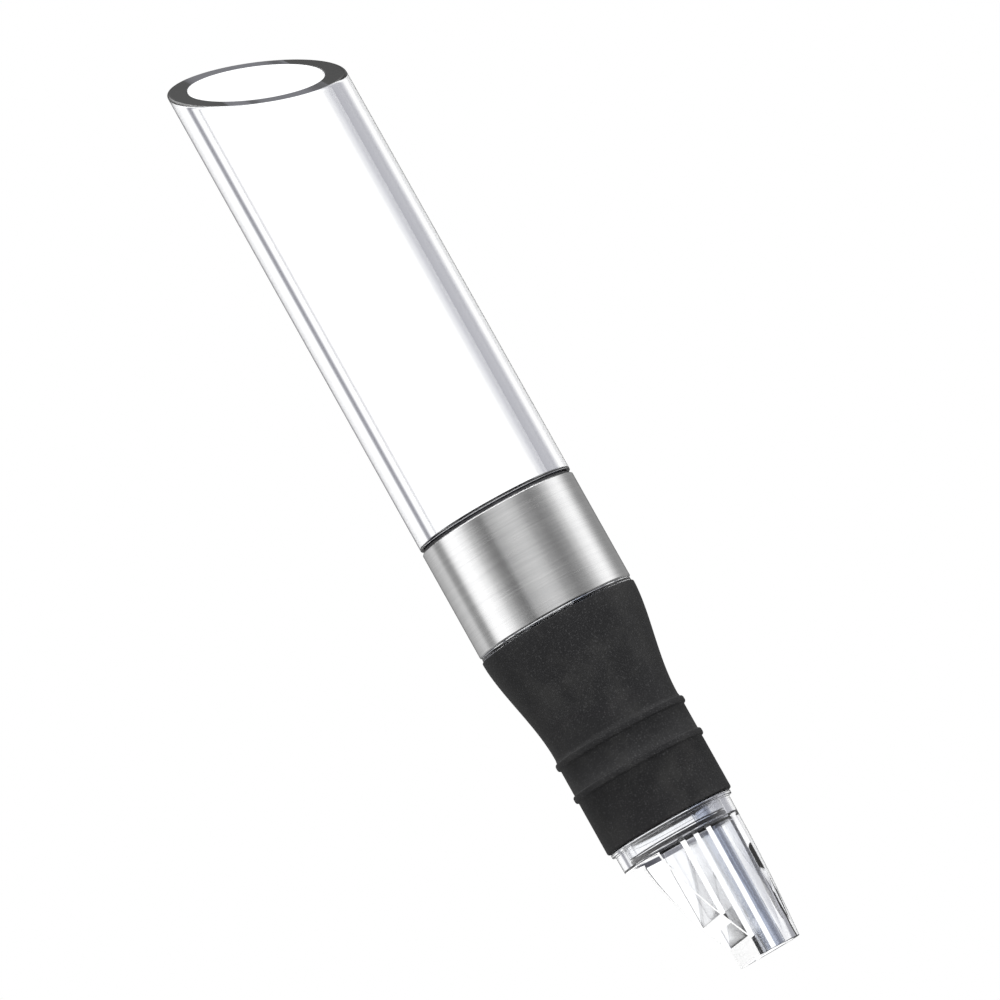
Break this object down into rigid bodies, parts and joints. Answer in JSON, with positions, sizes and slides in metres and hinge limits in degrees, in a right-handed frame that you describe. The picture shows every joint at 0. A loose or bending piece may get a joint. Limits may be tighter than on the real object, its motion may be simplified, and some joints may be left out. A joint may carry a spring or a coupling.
{
  "type": "aerating wine pourer",
  "caption": "Aerating wine pourer: clear obliquely cut spout tube in a brushed steel band, on a ribbed black rubber stopper with a clear scoop inlet.",
  "frame": {"origin": "on the stopper's axis, in the plane of the bottle's lip", "axes": "+Z out of the bottle towards the mouth, +X towards the spout's long lip"},
  "size_m": [0.0232, 0.0232, 0.1428],
  "materials": {
    "clear_acrylic": "polished, water clear",
    "clear_plastic": "clear, glossy",
    "air_plastic": "smoky clear, glossy",
    "cap_plastic": "frosted",
    "brushed_steel": "brushed around the axis",
    "black_rubber": "matte, finely speckled",
    "silicone": "translucent satin",
    "dark_silicone": "satin"
  },
  "bodies": {
    "stopper": {"stopper": "black_rubber"},
    "core": {"core_body": "clear_plastic", "steel_band": "brushed_steel", "aerator_cap": "cap_plastic", "cap_gasket": "silicone", "air_tube": "air_plastic", "air_grommet": "silicone", "seat_ring": "dark_silicone"},
    "spout_seal": {"spout_o_ring": "silicone"},
    "spout": {"spout_tube": "clear_acrylic"},
    "inlet": {"inlet_nozzle": "clear_plastic", "inlet_gasket": "dark_silicone"}
  },
  "joints": [
    {"name": "core_pull", "type": "slide", "parent": "stopper", "child": "core", "axis": [0, 0, 1], "range_m": [0, 0.04]},
    {"name": "spout_pull", "type": "slide", "parent": "core", "child": "spout_seal", "axis": [0, 0, 1], "range_m": [0, 0.02]},
    {"name": "spout_turn", "type": "hinge", "parent": "spout_seal", "child": "spout", "pos_m": [0, 0, 0.0315], "axis": [0, 0, 1], "continuous": true},
    {"name": "inlet_pull", "type": "slide", "parent": "stopper", "child": "inlet", "axis": [0, 0, -1], "range_m": [0, 0.03]}
  ]
}
